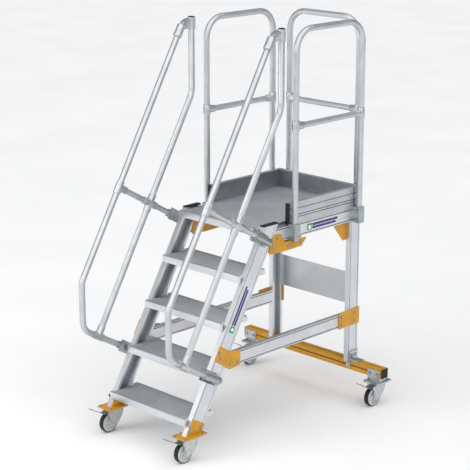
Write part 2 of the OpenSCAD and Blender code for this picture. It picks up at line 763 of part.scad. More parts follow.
shift() left_stile();
shift() right_stile();
shift() left_upright();
shift() right_upright();
shift() left_brace();
shift() right_brace();
shift() left_deck_beam();
shift() right_deck_beam();
shift() deck_cross_beams();
shift() rear_crossbar();
shift() black_caps();
shift() tread_1();
shift() tread_2();
shift() tread_3();
shift() tread_4();
shift() tread_brackets();
shift() deck();
shift() rear_panel();
shift() toe_board_left();
shift() toe_board_right();
shift() toe_board_rear();
shift() toe_board_ends();
shift() guard_hoop_left();
shift() guard_hoop_right();
shift() guard_hoop_rear();
shift() guard_mid_rails();
shift() guard_fittings();
shift() guard_clamps();
shift() handrail_left();
shift() handrail_right();
shift() handrail_inner_left();
shift() handrail_inner_right();
shift() handrail_cross_tubes();
shift() handrail_fittings();
shift() handrail_saddles();
shift() front_castor_brackets();
shift() brace_gussets();
shift() brace_brackets();
shift() deck_brackets();
shift() foot_brackets();
shift() rear_castor_clamps();
shift() frame_bolts();
shift() castor_top_plates();
shift() front_left_fork();
shift() front_right_fork();
shift() rear_left_fork();
shift() rear_right_fork();
shift() front_left_wheel();
shift() front_right_wheel();
shift() rear_left_wheel();
shift() rear_right_wheel();
shift() front_left_tyre();
shift() front_right_tyre();
shift() rear_left_tyre();
shift() rear_right_tyre();
shift() front_left_pedal();
shift() front_right_pedal();
shift() rear_left_pedal();
shift() rear_right_pedal();
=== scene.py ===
# %% [markdown]
# # Mobile platform steps
#
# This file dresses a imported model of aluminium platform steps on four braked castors.
# The frame that is loaded first has the true shape, size and joints of every piece. Blender gives
# it rolled edges, real finishes and the small things that repeat: ribs, bolts and screws.

import json
import math

import bmesh
import bpy
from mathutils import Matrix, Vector


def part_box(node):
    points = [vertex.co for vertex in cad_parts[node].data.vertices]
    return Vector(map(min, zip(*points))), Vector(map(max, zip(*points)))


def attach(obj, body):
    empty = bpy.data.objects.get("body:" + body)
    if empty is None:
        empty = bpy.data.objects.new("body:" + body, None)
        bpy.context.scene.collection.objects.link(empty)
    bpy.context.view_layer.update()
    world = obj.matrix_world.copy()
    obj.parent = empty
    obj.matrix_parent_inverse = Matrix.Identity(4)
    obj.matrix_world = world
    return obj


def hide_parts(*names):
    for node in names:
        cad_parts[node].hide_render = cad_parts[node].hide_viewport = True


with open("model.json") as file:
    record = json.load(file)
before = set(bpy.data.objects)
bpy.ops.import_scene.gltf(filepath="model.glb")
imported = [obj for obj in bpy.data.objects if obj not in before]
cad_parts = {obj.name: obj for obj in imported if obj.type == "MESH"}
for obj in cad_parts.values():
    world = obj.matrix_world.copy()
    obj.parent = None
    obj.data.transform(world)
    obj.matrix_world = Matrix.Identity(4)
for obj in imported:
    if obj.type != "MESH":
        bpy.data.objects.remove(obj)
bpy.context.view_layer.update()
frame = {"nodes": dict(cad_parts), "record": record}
MM = 0.001
body_of_node = {
    node: body for body, nodes in frame["record"]["behaviour"]["bodies"].items() for node in nodes
}

# %% [markdown]
# ## Three small helpers
#
# Finishes are written as sRGB hex values, as on a paint chart, but shaders work in linear light, so
# one function turns them. A second one adds a node with its settings and links, so that each
# material below reads as a short recipe. The third lets a pattern vary the roughness a little.


# %% Colour and node helpers
def paint(code):
    values = [int(code[i : i + 2], 16) / 255 for i in (1, 3, 5)]
    linear = [v / 12.92 if v <= 0.04045 else ((v + 0.055) / 1.055) ** 2.4 for v in values]
    return (*linear, 1.0)


def put(tree, kind, inputs=None, **settings):
    node = tree.nodes.new(kind)
    for name, value in settings.items():
        setattr(node, name, value)
    for socket, value in (inputs or {}).items():
        if isinstance(value, bpy.types.NodeSocket):
            tree.links.new(value, node.inputs[socket])
        else:
            node.inputs[socket].default_value = value
    return node


def rough_around(tree, pattern, lowest, highest):
    return put(
        tree,
        "ShaderNodeMapRange",
        {
            "Value": pattern.outputs["Fac"],
            "From Min": 0.3,
            "From Max": 0.7,
            "To Min": lowest,
            "To Max": highest,
        },
    )


print("mid grey in linear light:", [round(v, 3) for v in paint("#808080")[:3]])

# %% [markdown]
# ## Aluminium as it leaves the press
#
# Profiles are pushed hot through a steel die, so they carry faint lines along their length and a
# soft cloudy sheen. The lines are drawn about 5 mm wide, coarser than real die lines, which would
# not show at this size. Each profile gets the direction that it was pushed in: a Mapping node turns
# the pattern, and stretches it along that direction.


# %% Extruded aluminium
LINE_NOISE = 6.0
LENGTHWAYS = 0.6


def die_lined_aluminium(name, light, dark, turn=(0, 0, 0), run="X", line_mm=5, rough=0.36, metal=1.0):
    material = bpy.data.materials.new(name)
    material.use_nodes = True
    tree = material.node_tree
    shader = tree.nodes["Principled BSDF"]
    fine = 1 / (line_mm * MM) / LINE_NOISE
    scale = [LENGTHWAYS if axis == run else fine for axis in "XYZ"]
    place = put(tree, "ShaderNodeTexCoord").outputs["Object"]
    turned = put(tree, "ShaderNodeMapping", {"Vector": place, "Rotation": turn}).outputs[0]
    stretched = put(tree, "ShaderNodeMapping", {"Vector": turned, "Scale": scale}).outputs[0]
    lines = put(
        tree, "ShaderNodeTexNoise", {"Vector": stretched, "Scale": LINE_NOISE, "Detail": 4.0}
    )
    cloud = put(tree, "ShaderNodeTexNoise", {"Vector": place, "Scale": 9.0, "Detail": 3.0})
    both = put(
        tree,
        "ShaderNodeMath",
        {0: lines.outputs["Fac"], 1: 0.5, 2: cloud.outputs["Fac"]},
        operation="MULTIPLY_ADD",
    )
    tone = put(tree, "ShaderNodeValToRGB", {"Fac": both.outputs[0]})
    tone.color_ramp.elements[0].position = 0.45
    tone.color_ramp.elements[0].color = paint(dark)
    tone.color_ramp.elements[1].position = 1.0
    tone.color_ramp.elements[1].color = paint(light)
    haze = rough_around(tree, lines, rough - 0.03, rough + 0.03)
    grain = put(
        tree,
        "ShaderNodeBump",
        {"Height": lines.outputs["Fac"], "Strength": 0.04, "Distance": 0.4 * MM},
    )
    tree.links.new(tone.outputs["Color"], shader.inputs["Base Color"])
    tree.links.new(haze.outputs["Result"], shader.inputs["Roughness"])
    tree.links.new(grain.outputs["Normal"], shader.inputs["Normal"])
    shader.inputs["Metallic"].default_value = metal
    return material


SLOPE = math.radians(60)
profile_across = die_lined_aluminium("extruded_aluminium_across", "#E0E2E6", "#CFD2D6", run="X")
profile_back = die_lined_aluminium("extruded_aluminium_lengthways", "#E0E2E6", "#CFD2D6", run="Y")
profile_up = die_lined_aluminium("extruded_aluminium_upright", "#E0E2E6", "#CFD2D6", run="Z")
profile_stile = die_lined_aluminium(
    "extruded_aluminium_stile", "#E0E2E6", "#CFD2D6", turn=(-SLOPE, 0, 0), run="Y"
)
toe_board_metal = die_lined_aluminium(
    "extruded_aluminium_toe_board", "#CDD0D4", "#BDC0C4", run="Y", rough=0.42
)
panel_metal = die_lined_aluminium("rolled_aluminium_sheet", "#D0D2D5", "#C4C6CA", run="X", rough=0.45)
print("extrusion finishes:", [m.name for m in bpy.data.materials if "aluminium" in m.name])

# %% [markdown]
# ## Drawn tube
#
# Rail tubes are drawn through a ring, which leaves a smooth satin skin. What catches the eye is the
# bright line along the tube and soft clouds where hands have polished it, so the pattern is only a
# slow noise on colour and roughness.


# %% Drawn and cast aluminium
def satin_metal(name, light, dark, cloud_mm, grain_mm, rough, bump, metal=1.0):
    material = bpy.data.materials.new(name)
    material.use_nodes = True
    tree = material.node_tree
    shader = tree.nodes["Principled BSDF"]
    place = put(tree, "ShaderNodeTexCoord").outputs["Object"]
    cloud = put(
        tree, "ShaderNodeTexNoise", {"Vector": place, "Scale": 1 / (cloud_mm * MM), "Detail": 3.0}
    )
    grain = put(
        tree, "ShaderNodeTexNoise", {"Vector": place, "Scale": 1 / (grain_mm * MM), "Detail": 2.0}
    )
    tone = put(tree, "ShaderNodeValToRGB", {"Fac": cloud.outputs["Fac"]})
    tone.color_ramp.elements[0].position = 0.35
    tone.color_ramp.elements[0].color = paint(dark)
    tone.color_ramp.elements[1].position = 0.65
    tone.color_ramp.elements[1].color = paint(light)
    haze = rough_around(tree, grain, rough - 0.02, rough + 0.03)
    skin = put(
        tree,
        "ShaderNodeBump",
        {"Height": grain.outputs["Fac"], "Strength": bump, "Distance": 0.5 * MM},
    )
    tree.links.new(tone.outputs["Color"], shader.inputs["Base Color"])
    tree.links.new(haze.outputs["Result"], shader.inputs["Roughness"])
    tree.links.new(skin.outputs["Normal"], shader.inputs["Normal"])
    shader.inputs["Metallic"].default_value = metal
    return material


drawn_tube = satin_metal("drawn_aluminium_tube", "#CFD1D4", "#C3C6CA", 90, 12, 0.42, 0.0)
tumbled_casting = satin_metal("tumbled_aluminium_casting", "#CDD1D3", "#BCC1C4", 25, 4, 0.4, 0.1)
clamp_casting = satin_metal("blasted_aluminium_casting", "#B7BFC1", "#A4ADAF", 25, 4, 0.42, 0.1)
zinc_plate = satin_metal("zinc_plated_steel", "#D0D4D5", "#B5BABC", 14, 4, 0.33, 0.08)
pedal_zinc = satin_metal("zinc_plated_pedal", "#9AA1A2", "#858C8E", 14, 4, 0.38, 0.08)
bolt_zinc = satin_metal("zinc_plated_bolt", "#B4B7B9", "#8C9093", 6, 2, 0.35, 0.2)
print("satin finishes:", drawn_tube.name, tumbled_casting.name, zinc_plate.name, bolt_zinc.name)

# %% [markdown]
# ## Ribbed treads
#
# Treads and deck planks are extrusions too, but their tops are serrated and dull, so they look much
# darker than the smooth profiles. Saw teeth run from side to side about every 8 mm; a Wave texture
# across the planks gives them to the bump. At scale 1 its bands lie a tenth of pi metres apart.


# %% Serrated planks
def serrated_plank(name, light, dark, tooth_mm):
    material = die_lined_aluminium(name, light, dark, run="X", rough=0.52, metal=0.85)
    tree = material.node_tree
    shader = tree.nodes["Principled BSDF"]
    place = put(tree, "ShaderNodeTexCoord").outputs["Object"]
    teeth = put(
        tree,
        "ShaderNodeTexWave",
        {"Vector": place, "Scale": math.pi / 10 / (tooth_mm * MM), "Distortion": 0.0},
        bands_direction="Y",
    )
    ridge = put(
        tree,
        "ShaderNodeBump",
        {"Height": teeth.outputs["Fac"], "Strength": 0.35, "Distance": 0.8 * MM},
    )
    tree.links.new(ridge.outputs["Normal"], shader.inputs["Normal"])
    return material


tread_metal = serrated_plank("serrated_aluminium_tread", "#C6C9CC", "#B6B9BD", 7.9)
deck_metal = serrated_plank("serrated_aluminium_deck", "#BFC2C6", "#AFB3B7", 7.9)
print("plank finishes:", tread_metal.name, deck_metal.name)

# %% [markdown]
# ## Powder coat, plastic and rubber
#
# The crossbar and plates are steel with an ochre powder coat, which cures with a slight orange peel
# and thins on the edges. The caps are moulded black plastic with a fine spark texture, the wheel
# centres pale moulded nylon, and the tyres solid rubber that has picked up a little dust.


# %% Coats and plastics
def moulded(name, light, dark, cloud_mm, grain_mm, rough, bump, coat=0.0):
    material = satin_metal(name, light, dark, cloud_mm, grain_mm, rough, bump, metal=0.0)
    shader = material.node_tree.nodes["Principled BSDF"]
    shader.inputs["IOR"].default_value = 1.5
    shader.inputs["Coat Weight"].default_value = coat
    shader.inputs["Coat Roughness"].default_value = 0.25
    return material


powder_coat = moulded("ochre_powder_coat", "#CF941C", "#C28814", 70, 4, 0.42, 0.08, coat=0.05)
worn_coat = moulded("ochre_powder_coat_edge", "#DCA840", "#CC972C", 20, 4, 0.36, 0.05, coat=0.05)
black_plastic = moulded("moulded_black_plastic", "#0C0C0D", "#070708", 30, 3, 0.6, 0.1)
pale_nylon = moulded("moulded_grey_nylon", "#C6C9C9", "#B4B8B8", 25, 3, 0.4, 0.12)
tyre_rubber = moulded("solid_black_rubber", "#0F0F10", "#08080A", 18, 3, 0.62, 0.3)
print("coats and plastics:", powder_coat.name, black_plastic.name, pale_nylon.name, tyre_rubber.name)

# %% [markdown]
# ## Which piece wears what
#
# Each node of the frame but the bolts gets its finish, and how far its edges are rolled over in
# millimetres. Tubes get a third of a millimetre or so, profiles and plates up to 1 mm, and the
# crossbar, the tyres and the cast clamps more.

# %% Finish and edge of every node
finish_of = {
    "left_stile": (profile_stile, 1.0),
    "right_stile": (profile_stile, 1.0),
    "left_upright": (profile_up, 1.0),
    "right_upright": (profile_up, 1.0),
    "left_brace": (profile_back, 1.0),
    "right_brace": (profile_back, 1.0),
    "left_deck_beam": (profile_back, 1.0),
    "right_deck_beam": (profile_back, 1.0),
    "deck_cross_beams": (profile_across, 0.8),
    "rear_crossbar": (powder_coat, 1.6),
    "black_caps": (black_plastic, 0.8),
    "tread_brackets": (tumbled_casting, 0.8),
    "deck": (deck_metal, 0.5),
    "rear_panel": (panel_metal, 0.5),
    "toe_board_left": (toe_board_metal, 0.8),
    "toe_board_right": (toe_board_metal, 0.8),
    "toe_board_rear": (toe_board_metal, 0.8),
    "toe_board_ends": (black_plastic, 0.8),
    "guard_mid_rails": (drawn_tube, 0.4),
    "guard_fittings": (tumbled_casting, 1.0),
    "guard_clamps": (clamp_casting, 3.0),
    "handrail_cross_tubes": (drawn_tube, 0.4),
    "handrail_fittings": (tumbled_casting, 1.0),
    "handrail_saddles": (clamp_casting, 2.0),
    "front_castor_brackets": (powder_coat, 1.0),
    "brace_gussets": (powder_coat, 1.0),
    "brace_brackets": (powder_coat, 1.0),
    "deck_brackets": (powder_coat, 1.0),
    "foot_brackets": (zinc_plate, 0.8),
    "rear_castor_clamps": (zinc_plate, 1.0),
    "castor_top_plates": (zinc_plate, 0.7),
}
for number in range(1, 5):
    finish_of[f"tread_{number}"] = (tread_metal, 0.5)
for side in ("left", "right"):
    finish_of[f"guard_hoop_{side}"] = (drawn_tube, 0.3)
    finish_of[f"handrail_{side}"] = (drawn_tube, 0.3)
    finish_of[f"handrail_inner_{side}"] = (drawn_tube, 0.3)
finish_of["guard_hoop_rear"] = (drawn_tube, 0.3)
CORNERS = ("front_left", "front_right", "rear_left", "rear_right")
for corner in CORNERS:
    finish_of[f"{corner}_fork"] = (zinc_plate, 0.8)
    finish_of[f"{corner}_wheel"] = (pale_nylon, 0.8)
    finish_of[f"{corner}_tyre"] = (tyre_rubber, 1.5)
    finish_of[f"{corner}_pedal"] = (pedal_zinc, 0.6)
print("finished nodes:", len(finish_of), "of", len(frame["nodes"]))

# %% [markdown]
# ## Rolled edges
#
# A sharp edge never catches the light, and no sawn, pressed or cast edge is that sharp. A copy of
# each node's mesh is merged, its flat faces are joined up, and a Bevel rolls every corner. The copy
# then stands for the node. Powder coat thins on corners, so there the bevel takes a paler coat.


# %% Give a node its rolled edges
SAME_SPOT = 0.02 * MM
FLAT = math.radians(0.6)
CORNER = math.radians(32)
CREASE = math.radians(25)


def joined_up(node):
    shape = bmesh.new()
    shape.from_mesh(frame["nodes"][node].data)
    bmesh.ops.remove_doubles(shape, verts=shape.verts, dist=SAME_SPOT)
    return shape


def merged_copy(node):
    shape = joined_up(node)
    bmesh.ops.dissolve_limit(shape, angle_limit=FLAT, verts=shape.verts, edges=shape.edges)
    mesh = bpy.data.meshes.new(f"{node}_edged")
    shape.to_mesh(mesh)
    shape.free()
    return mesh


def plain_mesh(piece):
    seen = piece.evaluated_get(bpy.context.evaluated_depsgraph_get())
    mesh = bpy.data.meshes.new_from_object(seen)
    piece.modifiers.clear()
    piece.data = mesh
    mesh.shade_smooth()
    mesh.set_sharp_from_angle(angle=CREASE)
    return mesh


def roll_edges(node, finish, edge_mm):
    mesh = merged_copy(node)
    piece = bpy.data.objects.new(f"{node}_edged", mesh)
    bpy.context.collection.objects.link(piece)
    mesh.materials.clear()
    mesh.materials.append(finish)
    bevel = piece.modifiers.new("rolled edge", "BEVEL")
    bevel.width = edge_mm * MM
    bevel.segments = 2
    bevel.limit_method = "ANGLE"
    bevel.angle_limit = CORNER
    bevel.use_clamp_overlap = True
    if finish is powder_coat:
        mesh.materials.append(worn_coat)
        bevel.material = 1
    plain_mesh(piece)
    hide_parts(node)
    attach(piece, body_of_node[node])
    return piece


edged = {node: roll_edges(node, *choice) for node, choice in finish_of.items()}
print("largest edged pieces:")
for piece in sorted(edged.values(), key=lambda p: -len(p.data.polygons))[:4]:
    print("  ", piece.name, len(piece.data.polygons), "faces")

# %% [markdown]
# ## Painted shade in the grooves
#
# The profiles have narrow grooves along their faces, where screws are started. Their floors lie
# 1.5 mm or so under the face, so they are found by their depth under the node's own box and given
# a dark painted shade. They draw the fine lines that run along every profile.
# One function gives a finish to the faces of a piece that pass a test; the next cell uses it too.

# %% Paint shade on the groove floors
GROOVE_MM = (0.8, 2.2)
# Painted shade: near black on the profile groove floors, dark ochre on the crossbar's.
painted_groove_shade = satin_metal(
    "painted_shade_aluminium_groove", "#2B2D2F", "#202224", 40, 5, 0.7, 0.05, metal=0.0
)
coat_shadow = moulded("ochre_powder_coat_painted_groove_shadow", "#6A4A1C", "#5A3E16", 40, 3, 0.6, 0.05)
grooved_axes = {
    f"{side}_{profile}": (0,)
    for profile in ("stile", "upright", "brace", "deck_beam")
    for side in ("left", "right")
}
grooved_axes |= {"toe_board_left": (0,), "toe_board_right": (0,), "toe_board_rear": (1,)}
grooved_axes["rear_crossbar"] = (1, 2)


def refinish(node, finish, belongs):
    mesh = edged[node].data
    mesh.materials.append(finish)
    chosen = [face for face in mesh.polygons if belongs(face)]
    for face in chosen:
        face.material_index = len(mesh.materials) - 1
    return len(chosen)


def on_groove_floor(node, axes):
    low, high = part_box(node)
    least, most = (depth * MM for depth in GROOVE_MM)

    def belongs(face):
        for axis in axes:
            depth = min(face.center[axis] - low[axis], high[axis] - face.center[axis])
            if least < depth < most and abs(face.normal[axis]) > 0.9:
                return True
        return False

    return belongs


# Each groove floor takes its painted shade.
for node, axes in grooved_axes.items():
    dust = coat_shadow if node == "rear_crossbar" else painted_groove_shade
    print(f"  {node}: {refinish(node, dust, on_groove_floor(node, axes))} groove floors")

# %% [markdown]
# ## Painted shade inside, smooth noses
#
# The open insides of the channels and of the toe boards lie in shade, painted on them as darker
# copies of the aluminium. On the treads only the top is serrated, while the nose, the ends and the
# underside are as smooth as the other profiles; the floors between the ribs get a painted shadow.

# %% Painted shade in channel insides, smooth tread noses
# Painted shade for the insides of the stile channels, and a lighter painted shade for the uprights.
stile_channel_shade = satin_metal("painted_shade_channel_inside", "#B4B7BB", "#A6AAAE", 60, 8, 0.55, 0.03)
upright_channel_shade = satin_metal("painted_light_shade_upright_inside", "#D6D9DD", "#CBCFD3", 60, 8, 0.5, 0.0)
# Painted shade for the inner faces of the toe boards.
toe_board_shade = satin_metal("painted_shade_toe_board_inside", "#9EA1A5", "#92959A", 60, 8, 0.5, 0.03)
# Painted shadow for the floors between the tread and deck ribs.
rib_shadow = satin_metal("painted_shadow_between_ribs", "#8B8E93", "#7A7D82", 30, 6, 0.6, 0.05)


WALL_MM = 2.5
LIP_MM = 28
EDGE_MM = 1.5
RIB_FOOT_MM = (1.2, 2.5)


def inside_channel(node):
    low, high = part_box(node)
    outer, sign = (high[0], 1) if low[0] + high[0] > 0 else (low[0], -1)

    def belongs(face):
        looks_inwards = face.normal[0] * sign < -0.5
        if not WALL_MM * MM < (outer - face.center[0]) * sign < LIP_MM * MM:
            return False
        if node.endswith("stile"):
            return looks_inwards
        on_lip = min(face.center[1] - low[1], high[1] - face.center[1]) < EDGE_MM * MM
        on_end = abs(face.normal[2]) >= 0.5
        return (looks_inwards or abs(face.normal[0]) < 0.3) and not on_lip and not on_end

    return belongs


def inside_toe_board(node, axis):
    low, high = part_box(node)
    inward = -1 if low[axis] + high[axis] > 0 else 1
    return lambda face: face.normal[axis] * inward > 0.8


def between_ribs(node):
    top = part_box(node)[1][2]
    least, most = (depth * MM for depth in RIB_FOOT_MM)
    return lambda face: face.normal[2] > 0.9 and least < top - face.center[2] < most


def off_the_top(face):
    return face.normal[2] < 0.6


# The stile and upright channel insides take their painted shade.
for node, inside in (
    ("left_stile", stile_channel_shade),
    ("right_stile", stile_channel_shade),
    ("left_upright", upright_channel_shade),
    ("right_upright", upright_channel_shade),
):
    print(f"  {node}: {refinish(node, inside, inside_channel(node))} painted shade faces")
# The tread and deck tops take a painted shadow between their ribs; their other faces are smooth
# profile.
for node in ("tread_1", "tread_2", "tread_3", "tread_4", "deck"):
    print(f"  {node}: {refinish(node, profile_across, off_the_top)} smooth faces")
    print(f"  {node}: {refinish(node, rib_shadow, between_ribs(node))} groove floors")
# The toe boards' inner faces take their painted shade.
for node, axis in (("toe_board_left", 0), ("toe_board_right", 0), ("toe_board_rear", 1)):
    print(f"  {node}: {refinish(node, toe_board_shade, inside_toe_board(node, axis))} inside faces")

# %% [markdown]
# ## Stickers
#
# Two thin vinyl stickers sit on the right side, one up the stile and one along the deck beam. They
# carry a green square with a white window and two violet bars, and no letters. Each one is a few
# flat plates, 0.5 to 0.7 mm thick, standing on the metal.

# %% Stickers
vinyl_green = moulded("green_vinyl", "#2E9C4A", "#278B41", 30, 4, 0.35, 0.0)
vinyl_violet = moulded("violet_vinyl", "#43307E", "#3B2A70", 30, 4, 0.35, 0.0)
vinyl_white = moulded("white_vinyl", "#F2F2F2", "#E9E9E9", 30, 4, 0.35, 0.0)


BACKING = 0.5 * MM
WINDOW = 0.7 * MM


def sticker(name, corner, along_dir, up_dir, length, height):
    shape = bmesh.new()
    along_dir = Vector(along_dir).normalized()
    up_dir = Vector(up_dir).normalized()
    out = along_dir.cross(up_dir)

    def plate(a0, a1, u0, u1, thick, finish):
        ring = [(a0, u0), (a1, u0), (a1, u1), (a0, u1)]
        base = [Vector(corner) + along_dir * a + up_dir * u for a, u in ring]
        low_ring = [shape.verts.new(p) for p in base]
        top_ring = [shape.verts.new(p + out * thick) for p in base]
        faces = [shape.faces.new(list(reversed(low_ring))), shape.faces.new(top_ring)]
        for i in range(4):
            k = (i + 1) % 4
            faces.append(shape.faces.new([low_ring[i], low_ring[k], top_ring[k], top_ring[i]]))
        for face in faces:
            face.material_index = finish

    white, green, violet = range(3)
    plate(0, height, 0, height, BACKING, green)
    plate(height * 0.3, height * 0.8, height * 0.15, height * 0.7, WINDOW, white)
    start = height * 1.15
    plate(start, length, height * 0.56, height * 0.92, BACKING, violet)
    plate(start, length * 0.94, height * 0.08, height * 0.44, BACKING, violet)
    bmesh.ops.recalc_face_normals(shape, faces=shape.faces)
    mesh = bpy.data.meshes.new(name)
    shape.to_mesh(mesh)
    shape.free()
    for vinyl in (vinyl_white, vinyl_green, vinyl_violet):
        mesh.materials.append(vinyl)
    piece = bpy.data.objects.new(name, mesh)
    bpy.context.collection.objects.link(piece)
    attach(piece, "frame")
    return piece


UP_THE_STILE = 0.615
INTO_THE_STILE = 0.066
stile_low, stile_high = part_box("right_stile")
beam_low, beam_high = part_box("right_deck_beam")
climb = Vector((0, math.cos(SLOPE), math.sin(SLOPE)))
square_to_climb = Vector((0, -math.sin(SLOPE), math.cos(SLOPE)))
foot = Vector((stile_high[0], stile_low[1], stile_low[2]))
stile_spot = foot + climb * UP_THE_STILE - square_to_climb * INTO_THE_STILE
sticker("stile_sticker", stile_spot, climb, square_to_climb, 0.27, 0.036)
beam_spot = (beam_high[0], beam_low[1] + 0.30, beam_low[2] + 0.02)
sticker("beam_sticker", beam_spot, (0, 1, 0), (0, 0, 1), 0.26, 0.038)
print("sticker spots:", [round(v, 3) for v in stile_spot], [round(v, 3) for v in beam_spot])

# %% [markdown]
# ## Bolts
#
# The bolts hold plates and clamps on the frame. Each one is a pressed hexagon head with a chamfered
# crown on a flat washer. The frame says where they are; a Geometry Nodes tree sets a head and a
# washer on each of those points and turns them to the face that they are screwed into.


# %% Where the bolts sit
def islands(node):
    shape = joined_up(node)
    left_over = set(shape.verts)
    groups = []
    while left_over:
        reached = [left_over.pop()]
        for vert in reached:
            for edge in vert.link_edges:
                other = edge.other_vert(vert)
                if other in left_over:
                    left_over.discard(other)
                    reached.append(other)
        corners = [vert.co.copy() for vert in reached]
        low = Vector([min(c[i] for c in corners) for i in range(3)])
        high = Vector([max(c[i] for c in corners) for i in range(3)])
        groups.append((low, high))
    shape.free()
    return groups


def bolt_seats(node):
    bar_low, bar_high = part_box("rear_crossbar")
    bar_middle = (bar_low[1] + bar_high[1]) / 2
    seats = []
    for low, high in islands(node):
        middle, extent = (low + high) / 2, high - low
        axis = min(range(3), key=lambda i: extent[i])
        sign = 1
        if axis == 0:
            sign = 1 if middle.x > 0 else -1
        if axis == 1:
            sign = 1 if middle.y > bar_middle else -1
        facing = Vector([sign if i == axis else 0 for i in range(3)])
        across = sorted(extent)[1]
        seats.append((middle - facing * extent[axis] / 2, facing, across))
    return seats


seats = bolt_seats("frame_bolts")
smallest = min(across for seat, facing, across in seats)
print("bolts found:", len(seats), "smallest across flats:", round(smallest / MM, 1), "mm")

# %% [markdown]
# The tree is fed one point for each bolt, with the direction it faces as an attribute. Instance on
# Points sets a head there, and Align Rotation to Vector turns it. The instances are realised at the
# end, so that the result is a plain mesh.


# %% Bolt tree
FLATS = 13 * MM
CORNERS_ACROSS = 15 * MM
WASHER_THICKNESS = 1.4 * MM


def new_tree(name, sizes):
    tree = bpy.data.node_groups.new(name, "GeometryNodeTree")
    face = tree.interface
    face.new_socket("Geometry", in_out="INPUT", socket_type="NodeSocketGeometry")
    for label, kind in sizes.items():
        face.new_socket(label, in_out="INPUT", socket_type=kind)
    face.new_socket("Geometry", in_out="OUTPUT", socket_type="NodeSocketGeometry")
    return tree, put(tree, "NodeGroupInput").outputs, put(tree, "NodeGroupOutput")


def end_with_metal(tree, instances, metal, result):
    solid = put(tree, "GeometryNodeRealizeInstances", {"Geometry": instances.outputs[0]})
    coated = put(
        tree, "GeometryNodeSetMaterial", {"Geometry": solid.outputs[0], "Material": metal}
    )
    tree.links.new(coated.outputs[0], result.inputs["Geometry"])


def grow(name, start_mesh, tree, values, body):
    piece = bpy.data.objects.new(name, start_mesh)
    bpy.context.collection.objects.link(piece)
    live = piece.modifiers.new("grow", "NODES")
    live.node_group = tree
    for item in tree.interface.items_tree:
        if item.in_out == "INPUT" and item.name in values:
            live[item.identifier] = values[item.name]
    plain_mesh(piece)
    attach(piece, body)
    print(f"  {name}: {len(piece.data.polygons)} faces")
    return piece


def part_of(tree, size, share):
    return put(tree, "ShaderNodeMath", {0: size, 1: share}, operation="MULTIPLY").outputs[0]


def tapered(tree, sides, bottom, top, depth):
    sizes = {"Vertices": sides, "Radius Top": top, "Radius Bottom": bottom, "Depth": depth}
    return put(tree, "GeometryNodeMeshCone", sizes).outputs["Mesh"]


def stored(tree, name, kind):
    lookup = put(tree, "GeometryNodeInputNamedAttribute", {"Name": name}, data_type=kind)
    return lookup.outputs["Attribute"]


def bolt_tree():
    tree, given, result = new_tree(
        "bolt heads",
        {
            "Across Corners": "NodeSocketFloat",
            "Head Height": "NodeSocketFloat",
            "Washer Radius": "NodeSocketFloat",
            "Metal": "NodeSocketMaterial",
        },
    )
    half = part_of(tree, given["Across Corners"], 0.5)
    crown = part_of(tree, given["Head Height"], 0.25)
    shank = part_of(tree, given["Head Height"], 0.75)
    narrow = part_of(tree, half, 0.82)
    washer_edge = given["Washer Radius"]
    hexagon = tapered(tree, 6, half, half, shank)
    cap = tapered(tree, 6, half, narrow, crown)
    lift = put(tree, "ShaderNodeCombineXYZ", {"Z": shank})
    raised = put(tree, "GeometryNodeTransform", {"Geometry": cap, "Translation": lift.outputs[0]})
    washer = tapered(tree, 14, washer_edge, washer_edge, WASHER_THICKNESS)
    whole = put(tree, "GeometryNodeJoinGeometry")
    for part in (hexagon, raised.outputs["Geometry"], washer):
        tree.links.new(part, whole.inputs["Geometry"])
    facing = stored(tree, "facing", "FLOAT_VECTOR")
    turn = put(tree, "FunctionNodeAlignRotationToVector", {"Vector": facing}, axis="Z")
    points = put(tree, "GeometryNodeMeshToPoints", {"Mesh": given["Geometry"]})
    heads = put(
        tree,
        "GeometryNodeInstanceOnPoints",
        {
            "Points": points.outputs[0],
            "Instance": whole.outputs[0],
            "Rotation": turn.outputs[0],
            "Scale": stored(tree, "size", "FLOAT"),
        },
    )
    end_with_metal(tree, heads, given["Metal"], result)
    return tree


def seat_points(seats):
    mesh = bpy.data.meshes.new("bolt seats")
    mesh.from_pydata([seat for seat, facing, across in seats], [], [])
    mesh.attributes.new("facing", "FLOAT_VECTOR", "POINT")
    mesh.attributes.new("size", "FLOAT", "POINT")
    for place, (seat, facing, across) in enumerate(seats):
        mesh.attributes["facing"].data[place].vector = facing
        mesh.attributes["size"].data[place].value = across / FLATS
    return mesh


bolt_heads = grow(
    "bolt_heads",
    seat_points(seats),
    bolt_tree(),
    {
        "Across Corners": CORNERS_ACROSS,
        "Head Height": 6 * MM,
        "Washer Radius": 10.5 * MM,
        "Metal": bolt_zinc,
    },
    "frame",
)
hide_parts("frame_bolts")

# %% [markdown]
# ## Clamp screws
#
# Every block clamp on the deck beams is pulled tight by two cap screws. The same tree sets them, a
# little smaller, one above the other on the side of each block, where a key can reach them.

# %% Clamp screws
SCREW_LEVELS = (-26 * MM, 22 * MM)
SCREW_FLATS = 8 * MM
SIDE_CLAMPS_BEYOND = 0.3


def clamp_screw_seats():
    screws = []
    for low, high in islands("guard_clamps"):
        middle = (low + high) / 2
        side_clamp = abs(middle.x) > SIDE_CLAMPS_BEYOND
        for lift in SCREW_LEVELS:
            if side_clamp:
                seat, facing = Vector((middle.x, low.y, middle.z + lift)), Vector((0, -1, 0))
            else:
                sign = 1 if middle.x > 0 else -1
                edge = high.x if sign > 0 else low.x
                seat, facing = Vector((edge, middle.y, middle.z + lift)), Vector((sign, 0, 0))
            screws.append((seat, facing, SCREW_FLATS))
    return screws


clamp_screws = grow(
    "clamp_screws",
    seat_points(clamp_screw_seats()),
    bpy.data.node_groups["bolt heads"],
    {
        "Across Corners": CORNERS_ACROSS,
        "Head Height": 7 * MM,
        "Washer Radius": 9 * MM,
        "Metal": bolt_zinc,
    },
    "frame",
)
print("clamp screws:", len(clamp_screw_seats()))

# %% [markdown]
# ## Balls in the swivel heads
#
# Between the top plate and the fork of a castor runs a ring of steel balls, which shows as a bright
# beaded line. A tree sets small balls round a circle; each castor gets a ring of its own that
# turns with its fork.


